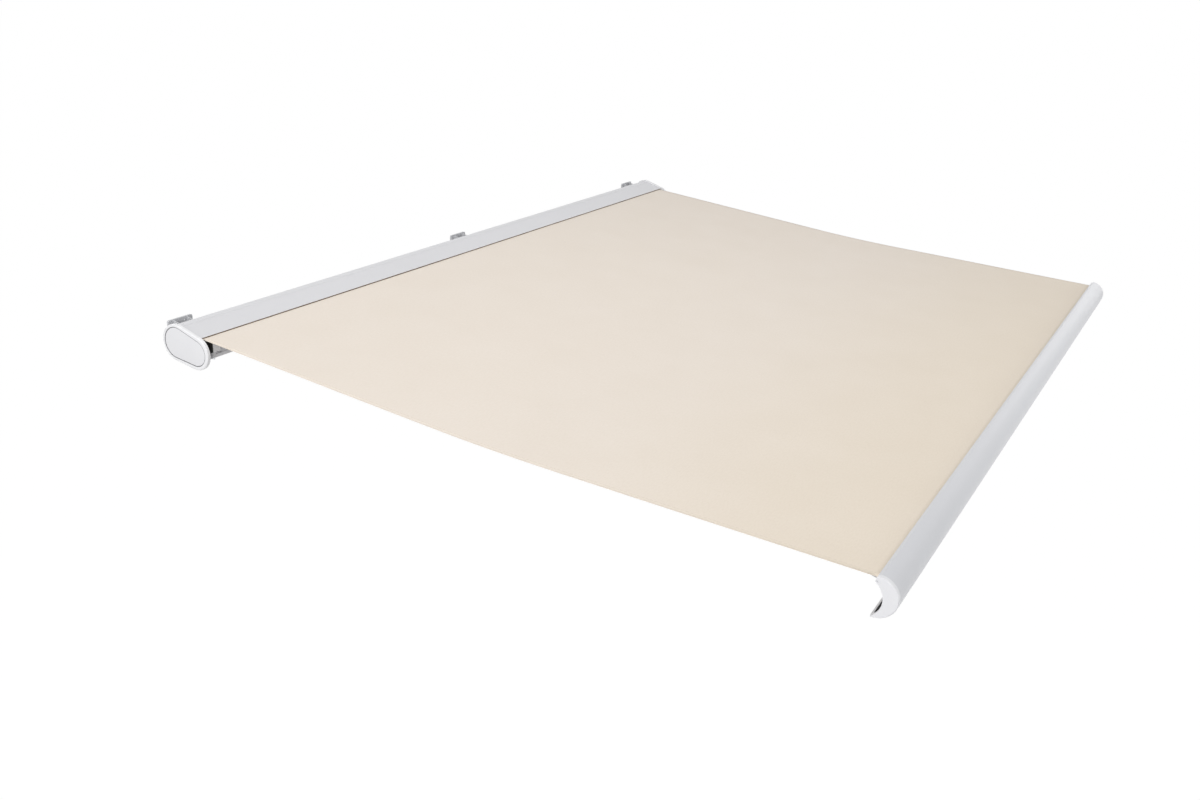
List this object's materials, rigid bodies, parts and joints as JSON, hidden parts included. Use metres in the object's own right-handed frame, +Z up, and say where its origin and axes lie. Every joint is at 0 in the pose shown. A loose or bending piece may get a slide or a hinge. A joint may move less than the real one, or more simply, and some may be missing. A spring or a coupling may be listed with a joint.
{
  "type": "retractable awning",
  "caption": "Folding-arm awning in an egg-shaped cassette: cloth on a roller, two spring arms and a crescent front bar, with three wall brackets.",
  "frame": {"origin": "centre of the middle wall bracket's back face, on the wall plane", "axes": "+X to the right as seen from the front, along the cassette; +Y into the wall; +Z up. The awning goes out towards -Y."},
  "size_m": [4.0016, 3.037, 0.4796],
  "materials": {
    "shell_paint": "extruded aluminium under a white satin powder coat",
    "bar_paint": "extruded aluminium under a white satin powder coat",
    "cap_paint": "cast aluminium under a white powder coat",
    "trim_plastic": "white moulded plastic, fine matt texture",
    "bracket_aluminium": "mill finish extrusion",
    "casting_paint": "cast aluminium under a light grey powder coat",
    "arm_paint": "extruded aluminium under a light grey powder coat",
    "bright_steel": "zinc plated steel",
    "roller_steel": "galvanised steel tube",
    "motor_paint": "black lacquered steel tube",
    "dark_plastic": "black glass-filled plastic",
    "spring_steel": "oiled spring steel",
    "awning_cloth": "cream solution-dyed acrylic, plain weave",
    "rubber": "black rubber",
    "welt_plastic": "round plastic rod"
  },
  "bodies": {
    "cassette": {"cassette_tray": "shell_paint", "top_shell": "shell_paint", "left_end_cap": "cap_paint", "right_end_cap": "cap_paint", "left_cap_insert": "trim_plastic", "right_cap_insert": "trim_plastic", "cap_screws": "bright_steel", "left_wall_bracket": "bracket_aluminium", "centre_wall_bracket": "bracket_aluminium", "right_wall_bracket": "bracket_aluminium", "bracket_clamps": "bracket_aluminium", "bracket_clamp_screws": "bright_steel", "left_shoulder_bracket": "casting_paint", "right_shoulder_bracket": "casting_paint", "left_shoulder_pin": "bright_steel", "right_shoulder_pin": "bright_steel", "shoulder_screws": "bright_steel", "tilt_screws": "bright_steel", "idler_end_plate": "bright_steel", "motor_end_plate": "bright_steel", "tubular_motor": "motor_paint", "cloth_cover": "awning_cloth"},
    "roller": {"roller_tube": "roller_steel", "roller_welt": "welt_plastic", "wound_cloth": "awning_cloth", "idler_plug": "dark_plastic", "motor_crown": "dark_plastic", "motor_drive_wheel": "dark_plastic"},
    "left_upper_arm": {"left_shoulder_knuckle": "casting_paint", "left_upper_arm_tube": "arm_paint", "left_elbow_fork": "casting_paint", "left_elbow_pin": "bright_steel", "left_arm_spring": "spring_steel"},
    "left_forearm": {"left_elbow_eye": "casting_paint", "left_forearm_tube": "arm_paint", "left_wrist_eye": "casting_paint"},
    "right_upper_arm": {"right_shoulder_knuckle": "casting_paint", "right_upper_arm_tube": "arm_paint", "right_elbow_fork": "casting_paint", "right_elbow_pin": "bright_steel", "right_arm_spring": "spring_steel"},
    "right_forearm": {"right_elbow_eye": "casting_paint", "right_forearm_tube": "arm_paint", "right_wrist_eye": "casting_paint"},
    "front_bar": {"front_bar_profile": "bar_paint", "bar_welt": "welt_plastic", "bar_seal": "rubber", "left_bar_cap": "cap_paint", "right_bar_cap": "cap_paint", "left_wrist_bracket": "casting_paint", "right_wrist_bracket": "casting_paint", "left_wrist_pin": "bright_steel", "right_wrist_pin": "bright_steel", "wrist_screws": "bright_steel"}
  },
  "joints": [
    {"name": "left_shoulder", "type": "hinge", "parent": "cassette", "child": "left_upper_arm", "pos_m": [-1.84, -0.17196, -0.02501], "axis": [0, -0.1144, 0.9934], "range_deg": [0, 70.21], "deforming": ["cloth_cover"]},
    {"name": "left_elbow", "type": "hinge", "parent": "left_upper_arm", "child": "left_forearm", "pos_m": [-1.37333, -1.56724, -0.18571], "axis": [0, -0.1144, 0.9934], "range_deg": [-140.41, 0]},
    {"name": "left_wrist", "type": "hinge", "parent": "left_forearm", "child": "front_bar", "pos_m": [-1.84, -2.96251, -0.34641], "axis": [0, -0.1144, 0.9934], "range_deg": [0, 70.21]},
    {"name": "right_shoulder", "type": "hinge", "parent": "cassette", "child": "right_upper_arm", "pos_m": [1.84, -0.17196, -0.02501], "axis": [0, -0.1144, 0.9934], "range_deg": [-70.21, 0]},
    {"name": "right_elbow", "type": "hinge", "parent": "right_upper_arm", "child": "right_forearm", "pos_m": [1.37333, -1.56724, -0.18571], "axis": [0, -0.1144, 0.9934], "range_deg": [0, 140.41]},
    {"name": "roller_spin", "type": "hinge", "parent": "cassette", "child": "roller", "pos_m": [0, -0.093, 0.0015], "axis": [1, 0, 0], "range_deg": [-3587.53, 0]}
  ],
  "couplings": [
    {"joint": "left_elbow", "follows": "left_shoulder", "ratio": -2},
    {"joint": "left_wrist", "follows": "left_shoulder", "ratio": 1},
    {"joint": "right_shoulder", "follows": "left_shoulder", "ratio": -1},
    {"joint": "right_elbow", "follows": "left_shoulder", "ratio": 2},
    {"joint": "roller_spin", "follows": "left_shoulder", "ratio": -51.1}
  ]
}
